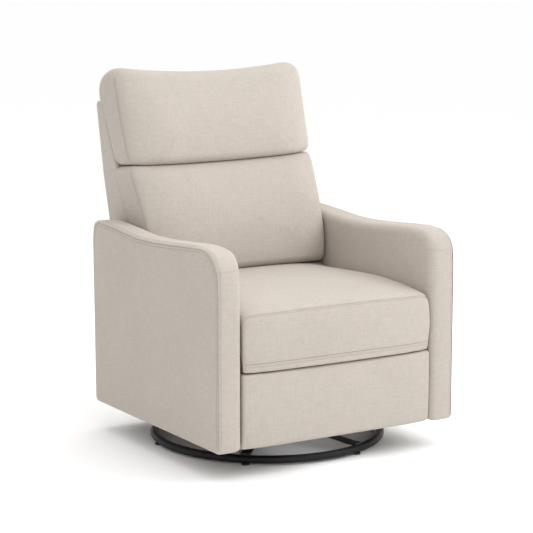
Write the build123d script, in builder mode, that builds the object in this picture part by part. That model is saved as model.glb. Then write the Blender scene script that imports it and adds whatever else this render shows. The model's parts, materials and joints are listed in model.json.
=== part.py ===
"""Swivel glider recliner for a nursery: upholstered chair on a black steel ring base.

Millimetres. +Z is up, the chair faces -Y, and left and right are the sitter's, so the left side is +X.
The origin is on the floor, under the centre of the chair's overall box.
Side views are drawn on the YZ plane as (y, z) points, where y is measured from the arms' front.
"""

import os
from math import cos, radians, sin

from build123d import *

os.makedirs("parts", exist_ok=True)

# ---------------------------------------------------------------- driving dimensions
overall_width = 740
overall_depth = 834
fit_gap = 0.3  # between a soft piece or a board and its neighbour
running_gap = 0.06  # radial, between a pin and the hole it turns in
seat_gap = 0.02  # radial, between a fixed pin and its hole

# Arms
arm_thickness = 75
arm_depth = 701
arm_front_height = 600
arm_dip_height = 582
arm_rear_height = 598
arm_bottom = 75  # clear height under the arms
arm_front_roll = 78
arm_rear_roll = 40
arm_dip_share = 0.55  # how far back the armrest is lowest, as a share of its depth
arm_edge_radius = 12
arm_side_foam = 15
arm_edge_foam = 28
arm_timber = 45

# Seat
cushion_overhang = 10  # the seat cushion stands this far in front of the arms
seat_side_gap = 3
seat_bottom = 276
seat_front_height = 436
seat_crown_height = 452
seat_back_height = 445
seat_depth = 549
seat_front_roll = 24
seat_apron = 20
seat_deck_height = 322
rail_width = 26
rail_height = 40
rail_bottom = 278
rail_arm_gap = 11  # between a side rail and the arm's padding
side_rail_end = 592

# Base ring and swivel
swivel_centre = 363  # behind the arms' front
ring_radius = 316
ring_tube = 22
ring_wall = 2
glide_height = 4
glide_radius = 11
glide_count = 6
spoke_angles = (18, 138, 198, 318)  # anticlockwise from above, counted from the chair's front
spoke_width = 26
spoke_thickness = 6
hub_radius = 78
hub_height = 56
hub_thickness = 6
race_inner = 38
race_outer = 74
race_thickness = 5
ball_radius = 4
ball_circle = 57
ball_count = 16
king_radius = 6

# Glide mechanism
glide_span = 220  # between front and rear hangers
link_drop = 110  # between a swing link's pivots
post_height = 134
post_width = 32
plate = 4  # steel plate thickness
layer_gap = 2  # between plates that pass each other
post_x = 196  # inner face of the posts
top_plate_width = 180
cross_tube_width = 40
cross_tube_height = 20
pin_radius = 5
pin_head_radius = 8
link_width = 26
cross_rail_height = 10
cross_rail_width = 30

# Lower rear panel, between the arms
rear_panel_top = 232
rear_panel_inset = 33  # its board's front, before the arms' rear
rear_pad_thickness = 16
rear_pad_lap = 2

# Footrest
footrest_front = -4  # in front of the arms' front, the footrest pad's face
footrest_bottom = 78
footrest_top = 272
footrest_side_gap = 3
footrest_pad = 57
footrest_board = 12
footrest_edge_radius = 14
swing_length = 200
link_spacing = 90  # between the two link pivots on the chair
pivot_height = 262
rear_pivot = 294  # behind the arms' front
closed_angle = -55  # direction of the closed swinging links, from +Y
coupler_reach = 53.4  # from the footrest board's back to the coupler links' lower end
coupler_angle = 149.7
coupler_spacing = 50  # between the two coupler links, along the swinging link
torque_tube_radius = 9

# Back. The points are side view ones: behind the arms' front, height.
back_pivot = (579, 395)
back_arm_gap = 7
head_overhang = 8  # the head cushion is wider than the space between the arms, on each side
recline_pin_radius = 6
pivot_head_radius = 10
back_panel_thickness = 18
back_side_thickness = 12
back_stile_foot = (654, 400)
back_stile_head = (780, 886)
stile_depth = 32
back_rail_height = 36
back_middle_rail = 260
bracket_height = 70
back_spring_heights = (100, 145, 190, 235, 330, 380, 430)
back_wave = 0.6  # the back springs' swing, as a share of the seat springs'
shell_rear_foot = (697, 262)
shell_rear_head = (828, 922)
shell_top_radius = 20
shell_front_edge = ((771, 922), (635, 592), (612, 500), (650, 400), (672, 300), (676, 262))
lumbar_bottom = 448
lumbar_top = 746
lumbar_crown = ((514, 448), (506, 490), (513, 560), (537, 650), (564, 716), (588, 746))
head_crown = (
    (592, 747), (590, 800), (624, 890), (658, 984), (704, 1016), (762, 1003), (794, 955), (790, 922.5),
)
lumbar_edge_radius = 16

# ---------------------------------------------------------------- places worked out from them
arm_front_y = -overall_depth / 2 + cushion_overhang
half_width = overall_width / 2
inner_x = half_width - arm_thickness
swivel_y = arm_front_y + swivel_centre
hub_top = hub_height + hub_thickness
race_top = hub_top + 2 * race_thickness + ball_radius
plate_top = race_top + plate
top_pivot_z = plate_top + post_height - post_width / 2
low_pivot_z = top_pivot_z - link_drop
rail_top = rail_bottom + rail_height
rail_side = inner_x - rail_arm_gap
rail_inner = rail_side - rail_width
back_half_width = inner_x - back_arm_gap
link_x = post_x + plate + layer_gap
carriage_x = link_x + plate + layer_gap
mount_x = rail_inner - plate
upper_layer = mount_x - layer_gap - plate
link_layer = upper_layer - layer_gap - plate
lower_layer = link_layer - layer_gap - plate
board_front = arm_front_y + footrest_front + footrest_pad
board_back = board_front + footrest_board


def at(behind_front, height):
    """A side view point, from its distance behind the arms' front and its height."""
    return (arm_front_y + behind_front, height)


def polar(start, length, angle):
    """The side view point that lies at that length and angle from start."""
    return (start[0] + length * cos(radians(angle)), start[1] + length * sin(radians(angle)))


def finish(piece, name):
    """Labels a finished piece and writes it."""
    piece.part.label = name
    export_step(piece.part, f"parts/{name}.step")


def draw_link(points, width, hole_radius):
    """Draws a flat link with round ends through the points, with a hole at each."""
    for a, b in zip(points, points[1:]):
        a, b = Vector(*a), Vector(*b)
        with Locations((a + b) / 2):
            turn = Vector(1, 0).get_signed_angle(b - a, Vector(0, 0, 1))
            SlotCenterToCenter((b - a).length, width, rotation=turn)
    with Locations(*points):
        Circle(hole_radius, mode=Mode.SUBTRACT)


def side_pins(points, steps):
    """Stepped pins along X on both sides, from (start, end, radius) steps measured from the centre plane."""
    for start, end, radius in steps:
        with BuildSketch(Plane.YZ.offset(start)) as ends:
            with Locations(*points):
                Circle(radius)
        extrude(ends.sketch, amount=end - start)
    mirror(about=Plane.YZ)


def side_polygon(x, thickness, points, holes=(), hole_radius=0.0):
    """Flat plates on both sides, from their side view outline."""
    with BuildSketch(Plane.YZ.offset(x)) as outline:
        Polygon(*points, align=None)
        if holes:
            with Locations(*holes):
                Circle(hole_radius, mode=Mode.SUBTRACT)
    extrude(outline.sketch, amount=thickness)
    mirror(about=Plane.YZ)


def block(low, high):
    """A box between two corners."""
    low, high = Vector(*low), Vector(*high)
    size = high - low
    with Locations((low + high) / 2):
        Box(size.X, size.Y, size.Z)


# ---------------------------------------------------------------- base ring
ring_centre_z = glide_height + ring_tube / 2
swivel_axis = Axis((0, swivel_y, 0), (0, 0, 1))
swivel_plane = Plane((0, swivel_y, 0))

with BuildPart() as base_ring:
    with BuildSketch(Plane.XZ.offset(-swivel_y)):
        with Locations((ring_radius, ring_centre_z)):
            Circle(ring_tube / 2)
            Circle(ring_tube / 2 - ring_wall, mode=Mode.SUBTRACT)
    revolve(axis=swivel_axis)
finish(base_ring, "base_ring")

with BuildPart() as base_glides:
    with BuildSketch(swivel_plane):
        with PolarLocations(ring_radius, glide_count, start_angle=spoke_angles[0] - 90):
            Circle(glide_radius)
    extrude(amount=glide_height - fit_gap / 2)
finish(base_glides, "base_glides")

spoke_start = ring_centre_z + ring_tube / 2 + fit_gap / 2
with BuildPart() as base_spokes:
    for angle in spoke_angles:
        turn = angle - 90
        along, across = Vector(1, 0).rotate(Axis.Z, turn), Vector(0, -1).rotate(Axis.Z, turn)
        with BuildSketch(Plane((0, swivel_y, 0), x_dir=along, z_dir=across)):
            Polygon(
                (ring_radius + ring_tube / 4, spoke_start),
                (ring_radius + ring_tube / 4, spoke_start + spoke_thickness),
                (ring_radius - ring_tube, spoke_start + spoke_thickness),
                (hub_radius, hub_height),
                (hub_radius / 2, hub_height),
                (hub_radius / 2, hub_height - spoke_thickness),
                (hub_radius, hub_height - spoke_thickness),
                (ring_radius - ring_tube, spoke_start),
                align=None,
            )
        extrude(amount=spoke_width / 2, both=True)
finish(base_spokes, "base_spokes")

with BuildPart() as hub_plate:
    with BuildSketch(swivel_plane.offset(hub_height)):
        Circle(hub_radius)
        Circle(king_radius + seat_gap, mode=Mode.SUBTRACT)
    extrude(amount=hub_thickness)
finish(hub_plate, "hub_plate")

# ---------------------------------------------------------------- swivel bearing
ball_centre_z = (hub_top + race_top) / 2
for name, bottom in (("lower_race", hub_top), ("upper_race", race_top - race_thickness)):
    with BuildPart() as race:
        with BuildSketch(swivel_plane.offset(bottom)):
            Circle(race_outer)
            Circle(race_inner, mode=Mode.SUBTRACT)
        extrude(amount=race_thickness)
        with BuildSketch(Plane.XZ.offset(-swivel_y)):
            with Locations((ball_circle, ball_centre_z)):
                Circle(ball_radius + running_gap)
        revolve(axis=swivel_axis, mode=Mode.SUBTRACT)
    finish(race, name)

with BuildPart() as bearing_balls:
    with Locations(swivel_plane.offset(ball_centre_z)):
        with PolarLocations(ball_circle, ball_count):
            Sphere(ball_radius)
finish(bearing_balls, "bearing_balls")

king_head = 6
with BuildPart() as king_bolt:
    for radius, bottom, top in (
        (2 * king_radius, hub_height - king_head, hub_height),
        (king_radius, hub_height, plate_top + king_head),
        (1.7 * king_radius, plate_top + fit_gap, plate_top + king_head),
    ):
        with BuildSketch(swivel_plane.offset(bottom)):
            Circle(radius)
        extrude(amount=top - bottom)
finish(king_bolt, "king_bolt")

# ---------------------------------------------------------------- glide frame, which swivels
cross_ys = {"front": swivel_y - glide_span / 2, "rear": swivel_y + glide_span / 2}

with BuildPart() as swivel_top_plate:
    with BuildSketch(swivel_plane.offset(race_top)):
        Rectangle(top_plate_width, glide_span + cross_tube_width)
        Circle(king_radius + running_gap, mode=Mode.SUBTRACT)
    extrude(amount=plate)
finish(swivel_top_plate, "swivel_top_plate")

for end, y in cross_ys.items():
    with BuildPart() as cross_tube:
        with BuildSketch(Plane.YZ.offset(-post_x)):
            with Locations((y, plate_top + cross_tube_height / 2)):
                Rectangle(cross_tube_width, cross_tube_height)
                Rectangle(cross_tube_width - 2 * ring_wall, cross_tube_height - 2 * ring_wall,
                          mode=Mode.SUBTRACT)
        extrude(amount=2 * post_x)
    finish(cross_tube, f"glide_cross_tube_{end}")

top_pivots = [(y, top_pivot_z) for y in cross_ys.values()]
low_pivots = [(y, low_pivot_z) for y in cross_ys.values()]

with BuildPart() as glide_posts:
    with BuildSketch(Plane.YZ.offset(post_x)):
        for y, z in top_pivots:
            with Locations((y, (plate_top + z) / 2)):
                Rectangle(post_width, z - plate_top)
            with Locations((y, z)):
                Circle(post_width / 2)
                Circle(pin_radius + seat_gap, mode=Mode.SUBTRACT)
    extrude(amount=plate)
    mirror(about=Plane.YZ)
finish(glide_posts, "glide_posts")

pin_head = 3
with BuildPart() as glide_upper_pins:
    side_pins(top_pivots, (
        (post_x - pin_head, post_x, pin_head_radius),
        (post_x, link_x + plate + layer_gap / 2, pin_radius),
    ))
finish(glide_upper_pins, "glide_upper_pins")

for end, top, low in (("front", top_pivots[0], low_pivots[0]), ("rear", top_pivots[1], low_pivots[1])):
    with BuildPart() as swing_links:
        with BuildSketch(Plane.YZ.offset(link_x)):
            draw_link([top, low], link_width, pin_radius + running_gap)
        extrude(amount=plate)
        mirror(about=Plane.YZ)
    finish(swing_links, f"swing_links_{end}")

# ---------------------------------------------------------------- carriage, which carries the chair
with BuildPart() as glide_lower_pins:
    side_pins(low_pivots, (
        (link_x - layer_gap / 2, carriage_x + plate, pin_radius),
        (carriage_x + plate, carriage_x + plate + pin_head, pin_head_radius),
    ))
finish(glide_lower_pins, "glide_lower_pins")

rail_cross_ys = {"front": arm_front_y + 324, "rear": arm_front_y + 504}
carriage_top = rail_bottom - cross_rail_height
carriage_low = low_pivot_z - post_width / 2
with BuildPart() as carriage_plates:
    side_polygon(carriage_x, plate, (
        (cross_ys["front"] - post_width / 2, carriage_low),
        (cross_ys["rear"] + post_width / 2, carriage_low),
        (rail_cross_ys["rear"] + cross_rail_width, carriage_top - cross_rail_width),
        (rail_cross_ys["rear"] + cross_rail_width, carriage_top),
        (rail_cross_ys["front"], carriage_top),
        (cross_ys["front"] - post_width / 2, low_pivot_z + post_width),
    ), low_pivots, pin_radius + seat_gap)
finish(carriage_plates, "carriage_plates")

for end, y in rail_cross_ys.items():
    with BuildPart() as cross_rail:
        block((-rail_side, y, carriage_top), (rail_side, y + cross_rail_width, rail_bottom))
    finish(cross_rail, f"carriage_cross_rail_{end}")

# ---------------------------------------------------------------- seat frame
bolt_radius = 4
bolt_gap = 0.2
bolt_head_radius = 8
bolt_head = 5
bolt_z = rail_bottom + rail_height / 2
arm_bolt_points = [at(124, bolt_z), at(424, bolt_z)]
front_rail_y = arm_front_y + 14
rear_rail_y = arm_front_y + 520

for side, sign in (("left", 1), ("right", -1)):
    with BuildPart() as side_rail:
        block((rail_inner, front_rail_y, rail_bottom), (rail_side, arm_front_y + side_rail_end, rail_top))
        with BuildSketch(Plane.YZ.offset(rail_inner)):
            with Locations(*arm_bolt_points):
                Circle(bolt_radius + bolt_gap)
        extrude(amount=rail_width, mode=Mode.SUBTRACT)
        if sign < 0:
            mirror(about=Plane.YZ, mode=Mode.REPLACE)
    finish(side_rail, f"seat_side_rail_{side}")

for end, y in (("front", front_rail_y), ("rear", rear_rail_y)):
    with BuildPart() as seat_rail:
        block((-rail_inner, y, rail_bottom), (rail_inner, y + rail_width, rail_top))
    finish(seat_rail, f"seat_rail_{end}")

spring_wire = 1.8
spring_count = 5
spring_pitch = 92
spring_turns = 13
spring_half_wave = 22


def serpentine(start, along, across, length):
    """Path of a zigzag spring: it runs along one direction and swings across it."""
    step = length / (spring_turns + 1)
    points = [start, start + along * step / 2]
    for turn in range(spring_turns):
        swing = spring_half_wave if turn % 2 else -spring_half_wave
        points.append(start + along * step * (turn + 0.5) + across * swing)
        points.append(start + along * step * (turn + 1.5) + across * swing)
    points += [start + along * (length - step / 2), start + along * length]
    return FilletPolyline(*points, radius=min(step, spring_half_wave * across.length) * 0.4)


with BuildPart() as seat_springs:
    for index in range(spring_count):
        x = (index - (spring_count - 1) / 2) * spring_pitch
        begin = Vector(x, front_rail_y + 3, rail_top + spring_wire + seat_gap)
        with BuildLine():
            wire = serpentine(begin, Vector(0, 1), Vector(1, 0), rear_rail_y + rail_width - 3 - begin.Y)
        with BuildSketch(Plane(begin, z_dir=wire % 0)):
            Circle(spring_wire)
        sweep(path=wire)
finish(seat_springs, "seat_springs")

# ---------------------------------------------------------------- seat cushion
with BuildPart() as seat_cushion:
    with BuildSketch(Plane.YZ):
        with BuildLine():
            front = arm_front_y - cushion_overhang
            rear = arm_front_y + seat_depth
            under = arm_front_y - cushion_overhang + seat_apron
            Polyline((rear, seat_back_height), (rear, seat_deck_height), (under, seat_deck_height),
                     (under, seat_bottom), (front, seat_bottom), (front, seat_front_height - seat_front_roll))
            roll = RadiusArc((front, seat_front_height - seat_front_roll),
                             (front + seat_front_roll, seat_front_height), seat_front_roll)
            Spline(roll @ 1, ((front + rear) / 2, seat_crown_height), (rear, seat_back_height),
                   tangents=((1, 0), (1, -0.04)))
        make_face()
    extrude(amount=inner_x - seat_side_gap, both=True)
    side_edges = seat_cushion.faces().filter_by(Axis.X).edges()
    fillet(side_edges.filter_by_position(Axis.Z, seat_front_height - seat_front_roll, seat_crown_height), 10)
finish(seat_cushion, "seat_cushion")

# ---------------------------------------------------------------- arms
def draw_arm(inset, bottom):
    """The armrest's side outline, drawn in from its outer shape."""
    front = arm_front_y + inset
    rear = arm_front_y + arm_depth - inset
    front_roll = arm_front_roll - inset
    rear_roll = arm_rear_roll - inset
    front_top = arm_front_height - inset
    rear_top = arm_rear_height - inset
    dip = (arm_front_y + arm_depth * arm_dip_share, arm_dip_height - inset)
    with BuildLine() as outline:
        Polyline((rear, rear_top - rear_roll), (rear, bottom), (front, bottom),
                 (front, front_top - front_roll))
        nose = RadiusArc((front, front_top - front_roll), (front + front_roll, front_top), front_roll)
        heel = RadiusArc((rear - rear_roll, rear_top), (rear, rear_top - rear_roll), rear_roll)
        Spline(nose @ 1, dip, heel @ 0, tangents=((1, 0), (1, 0)))
    make_face(outline.edges())


timber_x = inner_x + arm_side_foam + fit_gap
timber_thickness = arm_timber - 2 * fit_gap
timber_bar = 45
spacer_half = 20
spacer_half_height = 16
with BuildPart() as arm_foam:
    with BuildSketch(Plane.YZ.offset(inner_x)):
        draw_arm(0, arm_bottom)
    extrude(amount=arm_thickness)
    fillet(arm_foam.faces().filter_by(Axis.X).edges(), arm_edge_radius)
    with BuildSketch(Plane.YZ.offset(inner_x + arm_side_foam)):
        draw_arm(arm_edge_foam, 0)
    extrude(amount=arm_timber, mode=Mode.SUBTRACT)
    with BuildSketch(Plane.YZ.offset(inner_x)):
        with Locations(*arm_bolt_points):
            Rectangle(2 * (spacer_half + fit_gap), 2 * (spacer_half_height + fit_gap))
    extrude(amount=arm_side_foam, mode=Mode.SUBTRACT)

with BuildPart() as arm_frame:
    with BuildSketch(Plane.YZ.offset(timber_x)):
        draw_arm(arm_edge_foam + fit_gap, arm_bottom + fit_gap)
        window_length = arm_depth - 2 * (arm_edge_foam + timber_bar)
        lower_window = rail_bottom - 5 - (arm_bottom + timber_bar)
        upper_window = arm_dip_height - arm_edge_foam - timber_bar - (rail_top + 5)
        with Locations(at(arm_depth / 2, arm_bottom + timber_bar + lower_window / 2)):
            Rectangle(window_length, lower_window, mode=Mode.SUBTRACT)
        with Locations(at(arm_depth / 2, rail_top + 5 + upper_window / 2)):
            Rectangle(window_length, upper_window, mode=Mode.SUBTRACT)
        with Locations(*arm_bolt_points):
            Circle(bolt_radius + bolt_gap, mode=Mode.SUBTRACT)
    extrude(amount=timber_thickness)

for side, sign in (("left", 1), ("right", -1)):
    for name, source in (("arm_pad", arm_foam), ("arm_frame", arm_frame)):
        with BuildPart() as arm_piece:
            add(source.part if sign > 0 else source.part.mirror(Plane.YZ))
        finish(arm_piece, f"{name}_{side}")

with BuildPart() as arm_spacers:
    with BuildSketch(Plane.YZ.offset(rail_side)):
        with Locations(*arm_bolt_points):
            Rectangle(2 * spacer_half, 2 * spacer_half_height)
            Circle(bolt_radius + bolt_gap, mode=Mode.SUBTRACT)
    extrude(amount=timber_x - rail_side)
    mirror(about=Plane.YZ)
finish(arm_spacers, "arm_spacers")

with BuildPart() as arm_bolts:
    side_pins(arm_bolt_points, (
        (rail_inner - bolt_head, rail_inner, bolt_head_radius),
        (rail_inner, timber_x + timber_thickness - 5, bolt_radius),
    ))
finish(arm_bolts, "arm_bolts")

rear_panel_half = inner_x - fit_gap
rear_panel_y = arm_front_y + arm_depth - rear_panel_inset
rear_pad_y = rear_panel_y + footrest_board
with BuildPart() as rear_rail:
    block((-rear_panel_half, rear_panel_y, arm_bottom + rear_pad_lap),
          (rear_panel_half, rear_pad_y, rear_panel_top - rear_pad_lap))
finish(rear_rail, "rear_rail")

with BuildPart() as rear_lower_panel:
    block((-rear_panel_half, rear_pad_y + fit_gap, arm_bottom + fit_gap),
          (rear_panel_half, rear_pad_y + rear_pad_thickness, rear_panel_top))
    fillet(rear_lower_panel.faces().sort_by(Axis.Y)[-1].edges(), rear_pad_thickness / 2)
finish(rear_lower_panel, "rear_lower_panel")

# ---------------------------------------------------------------- footrest linkage
# Two equal parallelograms share the front swinging link, so the couplers stay parallel as they travel
# and the footrest turns by the same angle as the swinging links.
p_rear = at(rear_pivot, pivot_height)
p_front = at(rear_pivot - link_spacing, pivot_height)
e_rear = polar(p_rear, swing_length, closed_angle)
e_cross = polar(p_front, swing_length, closed_angle)
e_upper = polar(p_front, swing_length - coupler_spacing, closed_angle)
coupler_length = (e_cross[0] - board_back - coupler_reach) / -cos(radians(coupler_angle))
f_lower = polar(e_cross, coupler_length, coupler_angle)
f_upper = polar(e_upper, coupler_length, coupler_angle)

with BuildPart() as footrest_mount_plates:
    side_polygon(mount_x, plate, (
        at(rear_pivot - link_spacing - 20, pivot_height - 16), at(rear_pivot + 20, pivot_height - 16),
        at(rear_pivot + 36, rail_bottom + 30), at(rear_pivot - link_spacing - 36, rail_bottom + 30),
    ), [p_rear, p_front], pin_radius + seat_gap)
finish(footrest_mount_plates, "footrest_mount_plates")

pivot_shoulder = 8
with BuildPart() as footrest_pivot_pins:
    side_pins([p_rear, p_front], (
        (link_layer, link_layer + plate + fit_gap, pin_radius),
        (link_layer + plate + fit_gap, mount_x, pivot_shoulder),
        (mount_x, mount_x + plate, pin_radius),
        (mount_x + plate, mount_x + plate + pin_head, pivot_shoulder),
    ))
finish(footrest_pivot_pins, "footrest_pivot_pins")

for name, x, points in (
    ("footrest_rear_links", link_layer, [p_rear, e_rear]),
    ("footrest_front_links", link_layer, [p_front, e_upper, e_cross]),
    ("footrest_lower_links", lower_layer, [e_rear, e_cross, f_lower]),
    ("footrest_upper_links", upper_layer, [e_upper, f_upper]),
):
    with BuildPart() as links:
        with BuildSketch(Plane.YZ.offset(x)):
            draw_link(points, link_width, pin_radius + running_gap)
        extrude(amount=plate)
        mirror(about=Plane.YZ)
    finish(links, name)

with BuildPart() as footrest_torque_tube:
    with BuildSketch(Plane.YZ.offset(-link_layer)):
        with Locations(p_rear):
            Circle(torque_tube_radius)
            Circle(torque_tube_radius - ring_wall, mode=Mode.SUBTRACT)
    extrude(amount=2 * link_layer)
finish(footrest_torque_tube, "footrest_torque_tube")

rivet_head = 2.5
inner_rivet = (
    (lower_layer - rivet_head, lower_layer, pin_head_radius),
    (lower_layer, link_layer + plate, pin_radius),
)
outer_rivet = (
    (link_layer, upper_layer + plate, pin_radius),
    (upper_layer + plate, upper_layer + plate + rivet_head, pin_head_radius),
)
for name, points, steps in (
    ("footrest_rear_rivets", [e_rear], inner_rivet),
    ("footrest_lower_rivets", [e_cross, f_lower], inner_rivet),
    ("footrest_upper_rivets", [e_upper, f_upper], outer_rivet),
):
    with BuildPart() as rivets:
        side_pins(points, steps)
    finish(rivets, name)

# ---------------------------------------------------------------- footrest panel
board_inset = 6
flange = 18
with BuildPart() as footrest_brackets:
    with BuildSketch(Plane.YZ.offset(link_layer)):
        with Locations(f_lower, f_upper):
            Circle(link_width / 2)
        with Locations((board_back + plate / 2, f_upper[1] - 4), (board_back + plate / 2, f_lower[1] - 50)):
            Circle(plate / 2)
        make_hull()
        with Locations(f_lower, f_upper):
            Circle(pin_radius + running_gap, mode=Mode.SUBTRACT)
    extrude(amount=plate)
    block((link_layer + plate, board_back, f_lower[1] - 50), (link_layer + plate + flange, board_back + plate,
          f_upper[1] - 4))
    mirror(about=Plane.YZ)
finish(footrest_brackets, "footrest_brackets")

panel_half = inner_x - footrest_side_gap
with BuildPart() as footrest_panel_board:
    block((-panel_half + board_inset, board_front, footrest_bottom + board_inset),
          (panel_half - board_inset, board_back, footrest_top - board_inset))
finish(footrest_panel_board, "footrest_board")

with BuildPart() as footrest_cushion:
    block((-panel_half, arm_front_y + footrest_front, footrest_bottom),
          (panel_half, board_front - fit_gap, footrest_top))
    fillet(footrest_cushion.faces().sort_by(Axis.Y)[0].edges(), footrest_edge_radius)
finish(footrest_cushion, "footrest_pad")

screw_radius = 3
with BuildPart() as footrest_screws:
    with BuildSketch(Plane.XZ.offset(-(board_back + plate))):
        for side in (-1, 1):
            for z in (f_lower[1] - 35, f_upper[1] - 20):
                with Locations((side * (link_layer + plate + flange / 2 + 2), z)):
                    RegularPolygon(2 * screw_radius, 6)
    extrude(amount=-screw_radius)
finish(footrest_screws, "footrest_screws")

# ---------------------------------------------------------------- back: hinge and frame
pivot = at(*back_pivot)
bracket_x = mount_x - layer_gap - plate
with BuildPart() as back_hinge_plates:
    side_polygon(mount_x, plate, (
        at(side_rail_end - 40, rail_bottom + 2), at(side_rail_end, rail_bottom + 2),
        (pivot[0] + 15, pivot[1] + 14), (pivot[0] - 15, pivot[1] + 14),
    ), [pivot], recline_pin_radius + seat_gap)
finish(back_hinge_plates, "back_hinge_plates")

stile_foot = Vector(*at(*back_stile_foot))
stile_head = Vector(*at(*back_stile_head))
stile_lean = (stile_head - stile_foot).normalized()
stile_length = (stile_head - stile_foot).length
half_stile = stile_depth / 2


def stile_point(height, rearwards=0.0):
    """A side view point at a height along the stiles from their feet, and rearwards of their centre."""
    point = stile_foot + stile_lean * height + Vector(stile_lean.Y, -stile_lean.X) * rearwards
    return (point.X, point.Y)


def stile_outline(low, high, rear):
    """The side view corners of a piece that lies between the stiles' front face and its own rear face."""
    return (stile_point(low, -half_stile), stile_point(low, rear),
            stile_point(high, rear), stile_point(high, -half_stile))


stile_x = bracket_x + plate
stile_end = back_half_width - back_side_thickness - fit_gap
with BuildPart() as back_stiles:
    side_polygon(stile_x, stile_end - stile_x, stile_outline(0, stile_length, half_stile))
finish(back_stiles, "back_stiles")

with BuildPart() as back_brackets:
    side_polygon(bracket_x, plate, (
        (pivot[0] - 15, pivot[1] + 15), (pivot[0] - 15, pivot[1] - 15), (pivot[0] + 15, pivot[1] - 15),
        stile_point(5, half_stile - 5), stile_point(bracket_height, half_stile - 5),
        stile_point(bracket_height, -half_stile + 5),
    ), [pivot], recline_pin_radius + running_gap)
finish(back_brackets, "back_brackets")


def stile_reach(height):
    """Half the clear width between the stiles, or between the brackets on them, at that height."""
    return bracket_x if height <= bracket_height else stile_x


for name, low in (("bottom", 0), ("middle", back_middle_rail), ("top", stile_length - back_rail_height)):
    with BuildPart() as back_rail:
        with BuildSketch(Plane.YZ):
            Polygon(*stile_outline(low, low + back_rail_height, half_stile - 8), align=None)
        extrude(amount=stile_reach(low), both=True)
    finish(back_rail, f"back_rail_{name}")

with BuildPart() as back_pivot_bolts:
    side_pins([pivot], (
        (bracket_x - pin_head, bracket_x - fit_gap, pivot_head_radius),
        (bracket_x - pin_head, mount_x + plate, recline_pin_radius),
        (mount_x + plate, mount_x + plate + pin_head, pivot_head_radius),
    ))
finish(back_pivot_bolts, "back_pivot_bolts")

with BuildPart() as back_springs:
    for height in back_spring_heights:
        reach = stile_reach(height)
        begin = Vector(-reach, *stile_point(height, -half_stile + spring_wire + seat_gap))
        with BuildLine():
            swing = Vector(0, stile_lean.X, stile_lean.Y) * back_wave
            wire = serpentine(begin, Vector(1, 0), swing, 2 * reach)
        with BuildSketch(Plane(begin, z_dir=wire % 0)):
            Circle(spring_wire)
        sweep(path=wire)
finish(back_springs, "back_springs")

# ---------------------------------------------------------------- back: upholstery
shell_foot, shell_head = at(*shell_rear_foot), at(*shell_rear_head)
shell_slope = (shell_head[0] - shell_foot[0]) / (shell_head[1] - shell_foot[1])
shell_side_edge = [at(*point) for point in shell_front_edge]
shell_head_front = shell_side_edge[0]


def shell_rear(height, inwards=0.0):
    """A side view point on the shell's rear face at that height, moved forwards."""
    return (shell_foot[0] + (height - shell_foot[1]) * shell_slope - inwards, height)


with BuildPart() as back_shell:
    with BuildSketch(Plane.YZ):
        Polygon(*shell_side_edge, shell_foot, shell_head, align=None)
    extrude(amount=back_half_width, both=True)
    fillet(back_shell.edges().filter_by(Axis.X).sort_by(Axis.Y)[-1], shell_top_radius)
    rear_edges = back_shell.edges().filter_by_position(Axis.Y, shell_foot[0], shell_head[0])
    fillet(rear_edges.filter_by(Axis((0, *shell_foot), (0, shell_slope, 1))), back_side_thickness - 2)
    with BuildSketch(Plane.YZ):
        low = shell_foot[1] - back_panel_thickness
        high = shell_head[1] - back_panel_thickness
        Polygon(at(0, low), shell_rear(low, back_panel_thickness), shell_rear(high, back_panel_thickness),
                at(0, high), align=None)
    extrude(amount=back_half_width - back_side_thickness, both=True, mode=Mode.SUBTRACT)
finish(back_shell, "back_shell")

core_half_width = bracket_x - fit_gap
core_lap = 5  # how far a cushion's core reaches into its front part
knee_height = shell_side_edge[1][1]
pocket, pocket_top = shell_side_edge[2]


def edge_at(height, forwards):
    """A side view point on the front edge of the shell's sides at that height, moved forwards."""
    upper, lower = shell_side_edge[0], shell_side_edge[1]
    share = (height - lower[1]) / (upper[1] - lower[1])
    return (lower[0] + (upper[0] - lower[0]) * share - forwards, height)


def stile_front(height):
    """A side view point just in front of the stiles at that height."""
    forwards = half_stile + fit_gap
    along = (height - stile_foot.Y - stile_lean.X * forwards) / stile_lean.Y
    return stile_point(along, -forwards)


with BuildPart() as lumbar_cushion:
    with BuildSketch(Plane.YZ):
        with BuildLine():
            crown = Spline(*[at(*point) for point in lumbar_crown])
            Polyline(crown @ 1, edge_at(lumbar_top, 2 * fit_gap), edge_at(knee_height, 2 * fit_gap),
                     (pocket - 2 * fit_gap, pocket_top), (pocket - 2 * fit_gap, lumbar_bottom), crown @ 0)
        make_face()
    extrude(amount=back_half_width - 1, both=True)
    fillet(lumbar_cushion.faces().filter_by(Axis.X).edges().sort_by(Axis.Y)[0], lumbar_edge_radius)
    with BuildSketch(Plane.YZ):
        Polygon((pocket - core_lap, lumbar_bottom), stile_front(lumbar_bottom), stile_front(lumbar_top),
                edge_at(lumbar_top, core_lap), edge_at(knee_height, core_lap), (pocket - core_lap, pocket_top),
                align=None)
    extrude(amount=core_half_width, both=True)
finish(lumbar_cushion, "lumbar_cushion")

with BuildPart() as head_cushion:
    with BuildSketch(Plane.YZ):
        with BuildLine():
            crown = Spline(*[at(*point) for point in head_crown])
            Polyline(crown @ 1, (shell_head_front[0] - fit_gap, shell_head_front[1] + fit_gap),
                     edge_at(lumbar_top + 2 * fit_gap, 2 * fit_gap), crown @ 0)
        make_face()
    extrude(amount=inner_x + head_overhang, both=True)
    with BuildSketch(Plane.YZ):
        Polygon(edge_at(lumbar_top + 2 * fit_gap, core_lap), stile_front(lumbar_top + 2 * fit_gap),
                stile_front(stile_head.Y), edge_at(stile_head.Y, core_lap), align=None)
    extrude(amount=core_half_width, both=True)
finish(head_cushion, "head_cushion")
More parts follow.
